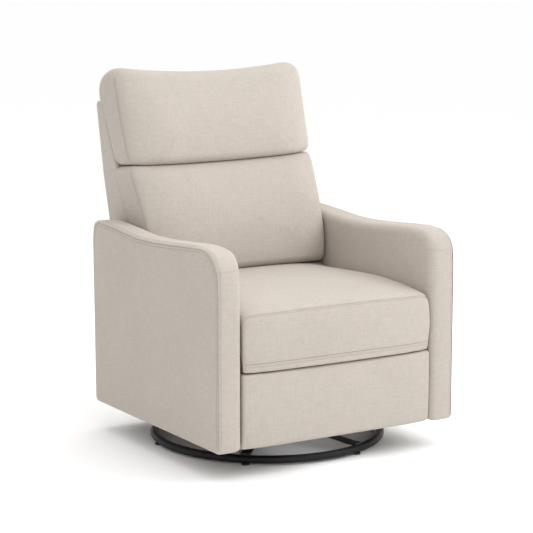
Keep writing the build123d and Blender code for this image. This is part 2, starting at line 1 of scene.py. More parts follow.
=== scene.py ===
"""Nursery swivel glider recliner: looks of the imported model.

The chair faces -y. Outlines, seam lines and limits are in mm, with y counted from the arms' front. Meshes,
voxels, pitches and thread radii are in metres, in the shared frame.
"""

import json
import math

import bmesh
import bpy
import numpy as np
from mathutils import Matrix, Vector
from mathutils.bvhtree import BVHTree
from mathutils.kdtree import KDTree


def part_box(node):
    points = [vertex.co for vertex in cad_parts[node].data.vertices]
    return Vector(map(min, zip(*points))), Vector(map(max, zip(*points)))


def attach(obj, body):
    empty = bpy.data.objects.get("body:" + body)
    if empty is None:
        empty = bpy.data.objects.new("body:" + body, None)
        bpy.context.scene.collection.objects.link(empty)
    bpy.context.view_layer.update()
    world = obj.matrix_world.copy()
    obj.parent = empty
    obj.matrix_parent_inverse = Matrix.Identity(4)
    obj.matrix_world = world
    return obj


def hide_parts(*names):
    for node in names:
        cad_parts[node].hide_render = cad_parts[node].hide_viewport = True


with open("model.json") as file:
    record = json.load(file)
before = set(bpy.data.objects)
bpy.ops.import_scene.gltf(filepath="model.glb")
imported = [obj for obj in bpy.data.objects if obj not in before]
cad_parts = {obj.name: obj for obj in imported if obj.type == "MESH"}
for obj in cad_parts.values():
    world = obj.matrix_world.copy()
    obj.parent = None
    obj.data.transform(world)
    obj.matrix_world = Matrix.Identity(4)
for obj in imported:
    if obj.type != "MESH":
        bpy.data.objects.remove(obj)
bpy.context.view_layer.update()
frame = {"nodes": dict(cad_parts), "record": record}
nodes = frame["nodes"]
scene = bpy.context.scene
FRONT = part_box("arm_pad_left")[0][1]  # y of the arms' front


# ---------------------------------------------------------------- node helpers
class Tree:
    """Short forms for building the nodes of a material or the world."""

    def __init__(self, owner, shader):
        owner.use_nodes = True
        self.owner = owner
        self.tree = owner.node_tree
        self.shader = self.tree.nodes[shader]

    def add(self, kind, **inputs):
        node = self.tree.nodes.new(kind)
        for key, value in inputs.items():
            self.put(node, key, value)
        return node

    def put(self, node, key, value):
        """Links or sets an input, named with underscores for spaces, or by its number after an i."""
        name = key.replace("_", " ")
        socket = node.inputs[int(key[1:])] if key[0] == "i" and key[1:].isdigit() else node.inputs[name]
        if isinstance(value, bpy.types.NodeSocket):
            self.tree.links.new(value, socket)
        elif isinstance(value, bpy.types.Node):
            self.tree.links.new(value.outputs[0], socket)
        else:
            socket.default_value = value

    def math(self, operation, a, b=0.0, c=0.0):
        node = self.tree.nodes.new("ShaderNodeMath")
        node.operation = operation
        for index, value in enumerate((a, b, c)):
            self.put(node, f"i{index}", value)
        return node.outputs[0]

    def vector(self, operation, a, b=(0, 0, 0)):
        node = self.tree.nodes.new("ShaderNodeVectorMath")
        node.operation = operation
        self.put(node, "i0", a)
        self.put(node, "i1", b)
        return node.outputs[0]

    def noise(self, vector, scale, detail=2.0, rough=0.5):
        node = self.add("ShaderNodeTexNoise", Vector=vector, Scale=scale, Detail=detail, Roughness=rough)
        return node.outputs["Fac"]

    def mix(self, fac, a, b):
        node = self.tree.nodes.new("ShaderNodeMix")
        node.data_type = "RGBA"
        self.put(node, "i0", fac)
        self.put(node, "i6", a)
        self.put(node, "i7", b)
        return node.outputs[2]

    def ramp(self, value, low, high):
        node = self.add("ShaderNodeMapRange", Value=value)
        node.inputs["From Min"].default_value = low
        node.inputs["From Max"].default_value = high
        return node.outputs[0]

    def bump(self, height, strength, distance):
        node = self.add("ShaderNodeBump", Height=height, Strength=strength, Distance=distance)
        return node.outputs[0]

    def finish(self, **inputs):
        for key, value in inputs.items():
            self.put(self.shader, key, value)
        return self.owner


# ---------------------------------------------------------------- camera and light
FOCAL_PX, PHOTO_PX, SENSOR_MM = 1853.29, 533, 36  # the focal length was fitted in the photograph's pixels
CAMERA_AT = (-2.64495, FRONT - 3.94493, 1.32673)
CAMERA_TURN, CAMERA_PITCH = math.radians(31.5254), math.radians(9.5259)


def look(obj, target):
    """Turns a camera or lamp to face a point."""
    obj.rotation_euler = (Vector(target) - obj.location).to_track_quat("-Z", "Y").to_euler()


aim = Vector((math.sin(CAMERA_TURN) * math.cos(CAMERA_PITCH), math.cos(CAMERA_TURN) * math.cos(CAMERA_PITCH),
              -math.sin(CAMERA_PITCH)))
camera = bpy.data.objects.new("camera", bpy.data.cameras.new("camera"))
scene.collection.objects.link(camera)
camera.location = CAMERA_AT
camera.rotation_euler = aim.to_track_quat("-Z", "Y").to_euler()
camera.data.sensor_width = SENSOR_MM
camera.data.lens = FOCAL_PX / PHOTO_PX * SENSOR_MM
camera.data.clip_end = 500
scene.camera = camera
scene.view_settings.view_transform = "Standard"
scene.view_settings.look = "None"


def hang(light, location, target):
    """Puts a lamp in the scene and points it."""
    obj = bpy.data.objects.new(light.name, light)
    scene.collection.objects.link(obj)
    obj.location = location
    look(obj, target)


def area_light(name, location, target, size, power):
    """A rectangular lamp."""
    light = bpy.data.lights.new(name, "AREA")
    light.shape = "RECTANGLE"
    light.size, light.size_y = size
    light.energy = power
    hang(light, location, target)


area_light("key", (2.9, -2.3, 2.9), (0, 0, 0.5), (2.6, 2.6), 70)
area_light("back_top", (0.2, 1.6, 3.6), (0, 0, 0.4), (2.5, 1.5), 27)
area_light("camera_low", (-0.7, -2.9, 0.55), (0, -0.1, 0), (1.0, 0.3), 4)
area_light("seat_fill", (-0.33, -0.65, 1.25), (0.3, 0.05, 0.42), (0.6, 0.6), 1.6)
area_light("under", (0, -0.22, 0.06), (0, -0.22, 0), (0.22, 0.45), 0.08)
area_light("right_low", (2.4, -0.4, 1.0), (0.3, 0, 0), (1.2, 0.8), 9)
sun = bpy.data.lights.new("sky", "SUN")
sun.energy = 0.15
sun.angle = math.radians(60)
hang(sun, (1.2, -1.6, 1.8), (0, 0, 0))

# the sky's strength: brighter overhead than at the sides, and white along the horizon
SIDES, OVERHEAD, HORIZON = 0.59, 0.76, 0.40
sky = Tree(bpy.data.worlds.new("studio"), "Background")
toward = sky.add("ShaderNodeSeparateXYZ", Vector=sky.add("ShaderNodeTexCoord").outputs["Generated"])
upward = sky.math("MAXIMUM", toward.outputs["Z"], 0.0)
strength = sky.math("MULTIPLY_ADD", sky.math("POWER", upward, 2.0), OVERHEAD, SIDES)
band = sky.math("POWER", sky.math("SUBTRACT", 1.0, upward), 6.0)
scene.world = sky.finish(Color=(1, 1, 1, 1), Strength=sky.math("MULTIPLY_ADD", band, HORIZON, strength))


# ---------------------------------------------------------------- materials and floor
def principled(name):
    """The nodes of a new material."""
    return Tree(bpy.data.materials.new(name), "Principled BSDF")


def linen(name, light, dark):
    """Linen-look weave: crossed slub yarns, mapped on each face from the side it looks to."""
    t = principled(name)
    coord = t.add("ShaderNodeTexCoord")
    place = coord.outputs["Object"]
    facing = t.vector("ABSOLUTE", coord.outputs["Normal"])
    square = t.vector("MULTIPLY", facing, facing)
    weight = t.add("ShaderNodeSeparateXYZ", Vector=t.vector("MULTIPLY", square, square)).outputs
    total = t.math("ADD", t.math("ADD", weight[0], weight[1]), weight[2])

    def woven(along, across, detail, rough, join):
        """Two crossed sets of long noise, blended over the three ways a face can look."""
        value = None
        for axis in range(3):
            first, second = [k for k in range(3) if k != axis]
            sets = []
            for long, short in ((first, second), (second, first)):
                stretch = [0.0, 0.0, 0.0]
                stretch[long], stretch[short] = along, across
                sets.append(t.noise(t.vector("MULTIPLY", place, tuple(stretch)), 1.0, detail, rough))
            term = t.math("MULTIPLY", t.math(join, *sets), weight[axis])
            value = term if value is None else t.math("ADD", value, term)
        return t.math("DIVIDE", value, total)

    streaks = t.ramp(woven(24, 240, 2.0, 0.6, "ADD"), 0.80, 1.20)
    slubs = t.ramp(woven(60, 640, 2.0, 0.6, "ADD"), 0.78, 1.22)
    yarns = woven(380, 1700, 1.0, 0.5, "MAXIMUM")
    cloud = t.ramp(t.noise(place, 6.0, 3.0, 0.6), 0.3, 0.7)
    tone = t.math("ADD", t.math("MULTIPLY", streaks, 0.26), t.math("MULTIPLY", slubs, 0.30))
    tone = t.math("ADD", tone, t.math("MULTIPLY", t.ramp(yarns, 0.42, 0.72), 0.30))
    tone = t.math("ADD", tone, t.math("MULTIPLY", cloud, 0.14))
    height = t.math("ADD", t.math("MULTIPLY", yarns, 0.6), t.math("MULTIPLY", slubs, 0.25))
    return t.finish(Base_Color=t.mix(tone, (*dark, 1), (*light, 1)), Roughness=0.88,
                    Normal=t.bump(height, 0.4, 0.0012), Sheen_Weight=0.15, Sheen_Roughness=0.45,
                    Specular_IOR_Level=0.25)


def plain(name, color, rough, grain, scale, spread=0.25, metallic=0.0, specular=0.5):
    """Moulded, painted or bare surface with fine uneven colour, gloss and texture."""
    t = principled(name)
    place = t.add("ShaderNodeTexCoord").outputs["Object"]
    fine = t.noise(place, scale, 3.0, 0.6)
    broad = t.noise(place, 14.0, 4.0, 0.6)
    dark = tuple(c * (1 - spread) for c in color)
    light = tuple(min(1.0, c * (1 + spread)) for c in color)
    tone = t.math("ADD", t.math("MULTIPLY", fine, 0.4), t.math("MULTIPLY", broad, 0.6))
    rough_out = t.math("ADD", t.math("MULTIPLY", t.math("SUBTRACT", broad, 0.5), 0.25), rough)
    return t.finish(Base_Color=t.mix(tone, (*dark, 1), (*light, 1)), Roughness=rough_out, Metallic=metallic,
                    Specular_IOR_Level=specular, Normal=t.bump(fine, grain, 0.0004))


def thread(name, color, rough=0.85):
    """Sewing thread."""
    return plain(name, color, rough, grain=0.3, scale=1500.0, spread=0.15)


def timber(name, light, dark):
    """Wood with its fibres along y, a little bent."""
    t = principled(name)
    place = t.add("ShaderNodeTexCoord").outputs["Object"]
    bend = t.add("ShaderNodeTexNoise", Vector=place, Scale=6.0).outputs["Color"]
    warped = t.vector("ADD", place, t.vector("MULTIPLY", bend, (0.02, 0.02, 0.02)))
    grain = t.noise(t.vector("MULTIPLY", warped, (90, 8, 90)), 1.0, 4.0, 0.65)
    pores = t.noise(t.vector("MULTIPLY", warped, (600, 30, 600)), 1.0, 2.0, 0.5)
    tone = t.math("ADD", t.math("MULTIPLY", grain, 0.7), t.math("MULTIPLY", pores, 0.3))
    return t.finish(Base_Color=t.mix(t.ramp(tone, 0.3, 0.7), (*dark, 1), (*light, 1)), Roughness=0.62,
                    Normal=t.bump(tone, 0.2, 0.0006))


FABRIC = linen("oatmeal_linen", (0.55, 0.501, 0.449), (0.40, 0.359, 0.316))
# painted shade: a darker copy of the seam thread, for the outer seam of the +x arm, whose groove is seen from
# its shadowed side
SHADED_SEAM_THREAD = thread("painted_shade_seam_thread", (0.20, 0.17, 0.145))
SOFT_THREAD = thread("faint_seam_thread", (0.37, 0.33, 0.285))
THREAD = thread("seam_thread", (0.33, 0.29, 0.247), 0.8)
BLACK = plain("black_powder_coat", (0.006, 0.006, 0.0065), 0.5, grain=0.35, scale=900.0, specular=0.3)
PLASTIC = plain("black_plastic", (0.02, 0.02, 0.021), 0.5, grain=0.2, scale=500.0)
ZINC = plain("dark_zinc", (0.16, 0.16, 0.17), 0.38, grain=0.1, scale=200.0, metallic=0.9)
SPRING = plain("spring_steel", (0.30, 0.30, 0.31), 0.3, grain=0.1, scale=300.0, metallic=1.0)
WOOD = timber("hardwood", (0.62, 0.45, 0.28), (0.40, 0.26, 0.14))
LOOK = {"upholstery": FABRIC, "timber": WOOD, "glide_plastic": PLASTIC, "black_steel": BLACK,
        "spring_steel": SPRING, "mechanism_steel": ZINC}
for entry in frame["record"]["subparts"]:
    mesh = nodes[entry["node"]].data
    mesh.materials.clear()
    mesh.materials.append(LOOK[entry["material_slot"]])

PALE = plain("pale_floor", (0.985, 0.985, 0.985), 0.9, grain=0.02, scale=60.0, spread=0.004)
FAR = 300  # metres: the floor's edge lies beyond what any view shows
floor_mesh = bpy.data.meshes.new("floor")
floor_mesh.from_pydata([(-FAR, -FAR, 0), (FAR, -FAR, 0), (FAR, FAR, 0), (-FAR, FAR, 0)], [], [(0, 1, 2, 3)])
floor = bpy.data.objects.new("floor", floor_mesh)
scene.collection.objects.link(floor)
floor_mesh.materials.append(PALE)


# ---------------------------------------------------------------- soft shape helpers
MM = 0.001
SWELL_PRESSURE, SWELL_FRAMES = 2.0, 16
SEAM_PITCH = 0.006
STITCH_PITCH, STITCH_SHARE, STITCH_RADIUS = 0.006, 0.68, 0.00045  # the share is how much of a pitch is thread


def lengths_along(path):
    """The distance along a path to each of its points."""
    return np.concatenate([[0], np.cumsum(np.linalg.norm(np.diff(path, axis=0), axis=1))])


def sample(path, lengths, where):
    """The points of a path at the given distances along it."""
    return np.stack([np.interp(where, lengths, path[:, k]) for k in range(path.shape[1])], axis=1)


def smooth_outline(points, count):
    """A closed outline in even steps, through corners given as (y, z, radius) in mm."""
    corners = [Vector((p[0], p[1])) for p in points]
    radii = [p[2] for p in points]
    path = []
    size = len(corners)
    for index in range(size):
        here = corners[index]
        before = corners[index - 1] - here
        after = corners[(index + 1) % size] - here
        reach = min(radii[index], before.length * 0.49, after.length * 0.49)
        start = here + before.normalized() * reach
        end = here + after.normalized() * reach
        for step in range(9):
            s = step / 8
            path.append(start * (1 - s) ** 2 + here * 2 * s * (1 - s) + end * s ** 2)
    path = np.array([tuple(p) for p in path])
    closed = np.vstack([path, path[:1]])
    lengths = lengths_along(closed)
    return sample(closed, lengths, np.linspace(0, lengths[-1], count, endpoint=False))


def shrink(outline, amount):
    """Moves a closed outline inwards along its normals."""
    ahead, back = np.roll(outline, -1, axis=0), np.roll(outline, 1, axis=0)
    tangent = ahead - back
    tangent /= np.linalg.norm(tangent, axis=1)[:, None] + 1e-9
    normal = np.stack([-tangent[:, 1], tangent[:, 0]], axis=1)
    area = np.sum(outline[:, 0] * ahead[:, 1] - ahead[:, 0] * outline[:, 1])
    if area < 0:
        normal = -normal
    return outline + normal * amount


def fall(distance, radius):
    """How far a rounded edge has dropped, at a distance from its end."""
    return radius - math.sqrt(radius ** 2 - (radius - distance) ** 2) if distance < radius else 0.0


def table(pairs, value):
    """Reads a value, or an array of them, from a list of pairs, straight between them."""
    return np.interp(value, [p[0] for p in pairs], [p[1] for p in pairs])


def loft(outline_at, x0, x1, round0, round1, count=48):
    """A closed body with rounded ends. outline_at(x) gives its side outline there, in mm."""
    middle, half = (x0 + x1) / 2, (x1 - x0) / 2
    rings = []
    for k in range(count + 1):
        x = middle - half * math.cos(math.pi * k / count)
        ring = shrink(outline_at(x), max(fall(x - x0, round0), fall(x1 - x, round1)))
        rings.append(np.column_stack([np.full(len(ring), x), ring]))
    verts = np.vstack(rings)
    verts[:, 1] += FRONT / MM
    verts = verts * MM
    n = len(rings[0])
    faces = []
    for k in range(count):
        for i in range(n):
            j = (i + 1) % n
            faces.append((k * n + i, k * n + j, (k + 1) * n + j, (k + 1) * n + i))
    faces.append(tuple(range(n))[::-1])
    faces.append(tuple(count * n + i for i in range(n)))
    return verts, faces


def make(name, verts, faces):
    """A new object with all its faces turned outwards."""
    mesh = bpy.data.meshes.new(name)
    mesh.from_pydata([tuple(v) for v in verts], [], faces)
    mesh.update()
    obj = bpy.data.objects.new(name, mesh)
    scene.collection.objects.link(obj)
    bm = bmesh.new()
    bm.from_mesh(mesh)
    bmesh.ops.recalc_face_normals(bm, faces=bm.faces)
    bm.to_mesh(mesh)
    bm.free()
    return obj


def bake(obj):
    """Applies the object's modifiers to its mesh."""
    graph = bpy.context.evaluated_depsgraph_get()
    mesh = bpy.data.meshes.new_from_object(obj.evaluated_get(graph))
    obj.modifiers.clear()
    old = obj.data
    obj.data = mesh
    mesh.name = obj.name
    bpy.data.meshes.remove(old)


def remesh(obj, voxel):
    """Rebuilds the mesh from even faces, about a voxel wide."""
    modifier = obj.modifiers.new("remesh", "REMESH")
    modifier.mode = "VOXEL"
    modifier.voxel_size = voxel
    bake(obj)


def get_points(obj):
    """The mesh's points in metres, as rows of x, y and z."""
    co = np.empty(len(obj.data.vertices) * 3, np.float32)
    obj.data.vertices.foreach_get("co", co)
    return co.reshape(-1, 3).astype(float)


def set_points(obj, co):
    obj.data.vertices.foreach_set("co", co.astype(np.float32).ravel())
    obj.data.update()


def inflate(obj, cap, free):
    """Lets the free part of a cover swell as cloth under pressure, by no more than cap metres."""
    start = get_points(obj)
    held = obj.vertex_groups.new(name="held")
    for index in np.nonzero(~free(*in_mm(start)))[0]:
        held.add([int(index)], 1.0, "REPLACE")
    modifier = obj.modifiers.new("cloth", "CLOTH")
    cloth = modifier.settings
    cloth.quality = 5
    cloth.vertex_group_mass = "held"
    cloth.pin_stiffness = 5
    cloth.use_pressure = True
    cloth.uniform_pressure_force = SWELL_PRESSURE
    cloth.effector_weights.gravity = 0
    modifier.point_cache.frame_start = 1
    modifier.point_cache.frame_end = SWELL_FRAMES
    for number in range(1, SWELL_FRAMES + 1):
        scene.frame_set(number)
    bake(obj)
    scene.frame_set(1)
    obj.vertex_groups.clear()
    move = get_points(obj) - start
    far = np.maximum(np.linalg.norm(move, axis=1), 1e-9)
    set_points(obj, start + move * (cap * np.tanh(far / cap) / far)[:, None])


def in_mm(co):
    """Splits points into x, distance behind the arms' front and height, in mm."""
    return co[:, 0] / MM, (co[:, 1] - FRONT) / MM, co[:, 2] / MM


def groove(obj, paths, depth, width):
    """Draws the cover in along its seams, by a depth that fades over a width, in mm."""
    points = []
    for path in paths:
        path = np.array(path, float)
        lengths = lengths_along(path)
        points.append(sample(path, lengths, np.arange(0, lengths[-1], 2.5)))
    points = np.vstack(points)
    tree = KDTree(len(points))
    surface_tree = surface(obj)
    for index, (x, y, z) in enumerate(points):
        spot = surface_tree.find_nearest(Vector((x * MM, y * MM + FRONT, z * MM)))[0]
        tree.insert(spot, index)
    tree.balance()
    normals = np.empty(len(obj.data.vertices) * 3, np.float32)
    obj.data.vertex_normals.foreach_get("vector", normals)
    normals = normals.reshape(-1, 3)
    co = get_points(obj)
    gap = np.array([tree.find(c)[2] for c in co]) / MM
    pull = depth * np.exp(-(gap / width) ** 2)
    set_points(obj, co - normals * (pull * MM)[:, None])


def smooth(obj, times):
    """Evens out the mesh."""
    modifier = obj.modifiers.new("smooth", "SMOOTH")
    modifier.iterations = times
    modifier.factor = 0.5
    bake(obj)


def dress(obj, body, material):
    """Gives a piece smooth faces and its material, and lets it move with a body."""
    for polygon in obj.data.polygons:
        polygon.use_smooth = True
    obj.data.materials.clear()
    obj.data.materials.append(material)
    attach(obj, body)


def finish_soft(obj, body, replaced):
    """Makes a cover a padded piece that stands in for CAD nodes."""
    dress(obj, body, FABRIC)
    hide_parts(*replaced)


def surface(obj):
    """A search tree over the object's faces."""
    co = get_points(obj)
    return BVHTree.FromPolygons([Vector(c) for c in co], [tuple(p.vertices) for p in obj.data.polygons])


def project(points, tree, pitch):
    """Resamples a path in mm (x, behind the arms' front, height) and lays it on a surface."""
    path = np.array(points, float)
    path[:, 1] += FRONT / MM
    path *= MM
    lengths = lengths_along(path)
    count = max(2, int(round(lengths[-1] / pitch)) + 1)
    points = sample(path, lengths, np.linspace(0, lengths[-1], count))
    return [tree.find_nearest(Vector(point))[:2] for point in points]


def tube(path, radius, sides, lift):
    """A closed tube along a path of (point, normal), raised along the normals by lift."""
    verts, faces = [], []
    for k, (spot, normal) in enumerate(path):
        a = path[max(0, k - 1)][0]
        b = path[min(len(path) - 1, k + 1)][0]
        along = (b - a).normalized() if (b - a).length > 1e-9 else Vector((0, 0, 1))
        side = along.cross(normal).normalized()
        up = side.cross(along).normalized()
        centre = spot + up * lift
        for s in range(sides):
            angle = 2 * math.pi * s / sides
            verts.append(centre + side * radius * math.cos(angle) + up * radius * math.sin(angle))
    rows = len(path)
    for k in range(rows - 1):
        for s in range(sides):
            n = (s + 1) % sides
            faces.append((k * sides + s, k * sides + n, (k + 1) * sides + n, (k + 1) * sides + s))
    faces.append(tuple(range(sides))[::-1])
    faces.append(tuple((rows - 1) * sides + s for s in range(sides)))
    return verts, faces


def merge(parts):
    """Puts several meshes into one."""
    verts, faces = [], []
    for v, f in parts:
        base = len(verts)
        verts += list(v)
        faces += [tuple(base + i for i in face) for face in f]
    return verts, faces


def seam(name, body, tree, paths, radius, lift=0.0, material=THREAD):
    """A sewn join: a fine thread that lies half sunk in the cover."""
    parts = [tube(project(path, tree, SEAM_PITCH), radius, 6, lift) for path in paths]
    thread_piece(name, body, parts, material)


def stitches(name, body, tree, paths):
    """Topstitching: short threads with gaps between them."""
    parts = []
    for path in paths:
        spots = project(path, tree, STITCH_PITCH)
        for (start, out), (after, out_after) in zip(spots, spots[1:]):
            middle = start.lerp(after, STITCH_SHARE / 2) + out * STITCH_RADIUS * 0.8
            end = start.lerp(after, STITCH_SHARE)
            parts.append(tube([(start, out), (middle, out), (end, out_after)], STITCH_RADIUS, 5, 0.0))
    thread_piece(name, body, parts, THREAD)


def thread_piece(name, body, parts, material):
    """Joins tubes into one piece that moves with a body."""
    obj = make(name, *merge(parts))
    dress(obj, body, material)


# ---------------------------------------------------------------- arms
ARM_INNER, ARM_OUTER = 295.0, 370.0
ARM_MIDDLE = (ARM_INNER + ARM_OUTER) / 2
ARM_LENGTH, ARM_BOTTOM = 701, 75
ROLL = (78, 522)  # the middle of the front roll's side outline
LINE_FRONT = ((-1, 84), (-1, 300), (-1, 500))  # (y, z) up the front, to the roll
LINE_BACK = ((149, 590), (245, 583), (340, 577), (432, 576), (520, 583), (600, 590), (662, 592), (688, 570),
             (697, 530), (698, 300), (698, 90))  # along the top from the roll, and down the rear


def arm_outline(x):
    """Side outline of an arm: rolled front, dipped armrest, small bottom corners."""
    top = [(92, 600), (150, 597), (245, 590), (340, 584), (432, 583), (520, 590), (600, 596), (662, 599)]
    roll = [(0, 88, 16), (0, 500, 60), (4, 556, 30), (30, 591, 30)]
    points = [(ARM_LENGTH - 4, ARM_BOTTOM, 14), (0, ARM_BOTTOM, 14)] + roll
    points += [(y, z, 40) for y, z in top] + [(697, 592, 22), (ARM_LENGTH, 540, 30)]
    return smooth_outline(points, 420)


def around_roll(x, deep, high, drop=0.0):
    """Points round the front roll, from the front to the top."""
    turns = [math.radians(180 - 90 * k / 9) for k in range(10)]
    return [(x, ROLL[0] + deep * math.cos(a), ROLL[1] + high * math.sin(a) - drop) for a in turns]


def build_arm(side, s):
    """An arm's cover with its seams. s is the sign of x on its side."""
    ends = sorted((s * ARM_INNER, s * ARM_OUTER))
    rounds = (20.0, 9.0) if s > 0 else (9.0, 20.0)
    obj = make(f"arm_{side}", *loft(arm_outline, *ends, *rounds, count=24))
    remesh(obj, 0.005)
    smooth(obj, 3)
    co = get_points(obj)
    x, y, z = in_mm(co)
    x = np.abs(x)
    flank = np.clip(np.minimum(y, ARM_LENGTH - y) / 60, 0, 1) * np.clip((z - ARM_BOTTOM) / 60, 0, 1)
    flank = np.sin(flank * np.clip((600 - z) / 60, 0, 1) * math.pi / 2)
    crown = np.clip(1 - ((x - ARM_MIDDLE) / 37.5) ** 2, 0, 1)
    x = x + 2.2 * flank * np.clip((x - ARM_MIDDLE) / 20, 0, 1)  # the outer side is a little full
    front = np.clip(1 - y / 30, 0, 1) * np.clip((z - ARM_BOTTOM) / 40, 0, 1)
    co[:, 0] = np.sign(co[:, 0]) * x * MM
    co[:, 1] -= 2.5 * MM * crown * front
    set_points(obj, co)
    finish_soft(obj, "chair", [f"arm_pad_{side}"])
    tree = surface(obj)
    edge, band = s * (ARM_OUTER + 1), s * (ARM_OUTER - 9)
    line = [(edge, y, z) for y, z in LINE_FRONT] + around_roll(edge, 76, 74, 2)
    line += [(edge, y, z) for y, z in LINE_BACK]
    # the +x arm's outer seam is thicker and takes the darker thread, which paints the shade of its groove
    # into the thread's colour
    thick = (0.0018, 0.0006, SHADED_SEAM_THREAD) if s > 0 else (0.0011, -0.0002)
    seam(f"arm_outer_seam_{side}", "chair", tree, [line], *thick)
    on_side = [(edge, y + 7.0, z) for y, z in LINE_FRONT] + around_roll(edge, 69, 67, 2)
    on_side += [(edge, y - (8 if y > 680 else 0), z - 8) for y, z in LINE_BACK]
    on_band = [(band, y - 6, z + (4 if z > 480 else 0)) for y, z in LINE_FRONT] + around_roll(band, 90, 88)
    on_band += [(band, y + (6 if y > 680 else 0), z + 12) for y, z in LINE_BACK]
    stitches(f"arm_topstitch_{side}", "chair", tree, [on_side, on_band])
    cross = [(s * x, y, 548) for x, y in ((291, 20), (303, -8), (332, -10), (364, -8), (373, 0))]
    seam(f"arm_cross_seam_{side}", "chair", tree, [cross], 0.0005, -0.0001, SOFT_THREAD)


build_arm("left", 1)
build_arm("right", -1)


# ---------------------------------------------------------------- seat cushion
SEAT_HALF = 292


def seat_seam(x):
    """Height of the seat's front seam."""
    return 437 - 5 * (x / SEAT_HALF) ** 2 - 0.6 * fall(SEAT_HALF - min(abs(x), SEAT_HALF), 28)


def seat_front(x):
    """How far behind the arms' front the seat's front flap hangs."""
    return -12 + 15 * min(1.0, abs(x) / SEAT_HALF) ** 4


def seat_outline(x):
    """Side outline of the seat cushion at a distance from its middle: domed, falling to the arms."""
    u = min(1.0, abs(x) / SEAT_HALF)
    side, rear = 22 * u ** 7, 32 * u ** 4.5
    ridge, front = seat_seam(x), seat_front(x)
    return smooth_outline([
        (548, 323, 12), (20, 323, 12), (16, 277, 4), (front, 277, 3), (front, 300, 10), (front - 3, 350, 60),
        (front - 1, ridge - 26, 30), (front + 6, ridge - 1, 24),
        (44, 447 - 0.6 * side - 3 * u ** 2, 40), (120, 456 - 0.6 * side - 3 * u ** 2, 60),
        (250, 461 - 0.55 * side - 3 * u ** 2, 80), (400, 460.5 - 0.62 * rear - 3 * u ** 2, 80),
        (490, 456 - 0.75 * rear - 2 * u ** 2, 40), (546, 448 - 0.15 * rear, 8),
    ], 300)


def seat_free(x, y, z):
    """The parts of the seat's cover that swell: its top and the face of its front flap."""
    ridge = 436 - 5 * (x / SEAT_HALF) ** 2
    face = (y < 0) & (z < ridge - 8) & (z > 305)
    top = (z > ridge + 4) & (y > 4) & (y < 515)
    return (face | top) & (np.abs(x) < 276)


seat = make("seat_cover", *loft(seat_outline, -SEAT_HALF, SEAT_HALF, 5, 5))
remesh(seat, 0.0055)
smooth(seat, 2)
inflate(seat, 0.006, seat_free)
smooth(seat, 1)
co = get_points(seat)
x, y, z = in_mm(co)
# the flap's ends swell towards the arms, and it narrows to its lower edge
bulge = np.clip(1 - np.abs(z - 352) / 78, 0, 1) ** 0.5 * np.clip((12 - y) / 14, 0, 1)
swollen = np.sign(x) * np.minimum(np.abs(x) + 4.5 * bulge, 293.5 + 3.8 * bulge)
narrow = 1 - 0.012 * np.clip((330 - z) / 50, 0, 1) * np.clip((30 - y) / 30, 0, 1)
co[:, 0] = np.where(np.abs(x) > 284, swollen, x) * narrow * MM
co[:, 2] = np.maximum(z, 277) * MM
set_points(seat, co)
across = [-288 + 576 * k / 60 for k in range(61)]
front_line = [(x, seat_front(x) + 2, seat_seam(x) - 1) for x in across]
lower_line = [(x, seat_front(x) - 2, 300 + 2 * (1 - (x / SEAT_HALF) ** 2)) for x in across]
groove(seat, [front_line], 1.2, 5)
groove(seat, [lower_line], 0.8, 4)
finish_soft(seat, "chair", ["seat_cushion"])
tree = surface(seat)
seam("seat_front_seam", "chair", tree, [front_line], 0.0008, material=SOFT_THREAD)
stitches("seat_front_stitch", "chair", tree, [[(x, y, z - 7) for x, y, z in front_line]])
seam("seat_lower_seam", "chair", tree, [lower_line], 0.0008)
stitches("seat_lower_stitch", "chair", tree, [[(x, y, z - 7) for x, y, z in lower_line]])


# ---------------------------------------------------------------- back cushions
# half: half the width. corner: the radius of the top's ends.
# crown: how far in from the sides the face starts to draw back. width: (height, half width).
# seam and middle: (height, y) up the side seams and up the middle of the face.
HEAD = {
    "half": 304, "corner": 40, "crown": 122,
    "seam": ((740, 604), (753, 609), (795, 626), (862, 650), (943, 672), (985, 684), (1020, 692)),
    "middle": ((740, 577), (753, 571), (775, 565), (810, 569), (850, 581), (890, 596), (930, 612), (970, 631),
               (1000, 650)),
    "width": ((745, 297), (795, 299), (862, 301), (943, 304), (985, 307.5)),
}
LUMBAR = {
    "half": 293, "corner": 18, "crown": 100,
    "seam": ((449, 521), (480, 519), (520, 520), (560, 526), (600, 537), (650, 560), (700, 586), (735, 603),
             (752, 609)),
    "middle": ((449, 506), (460, 494), (475, 487), (500, 485), (530, 487), (560, 493), (600, 504), (650, 520),
               (700, 541), (735, 560), (752, 575)),
    "width": ((449, 291), (600, 291), (628, 293), (674, 295.5), (732, 299.5), (768, 299.5)),
}


def face_at(piece, x, height):
    """The front face's distance behind the arms' front: full in the middle, drawn back to the side seams."""
    outer = max(0.0, (abs(x) - piece["half"] + piece["crown"]) / piece["crown"])
    seam_line, middle = table(piece["seam"], height), table(piece["middle"], height)
    turn = max(0.0, min(1.0, 1 - (piece["half"] - abs(x)) / 26))
    drawn = 0.72 * min(1.0, outer) ** 2 + 0.28 * (1 - math.sqrt(1 - turn ** 2))
    return middle + (seam_line - middle) * drawn


def crease(u):
    """Height of the line where the two cushions meet at the front, a little higher to one side."""
    return 752 + 6 * u ** 2 + 5 * u


def end_fall(piece, x):
    """How far the top has dropped towards a cushion's side."""
    half = piece["half"]
    return fall(half - min(abs(x), half), piece["corner"])


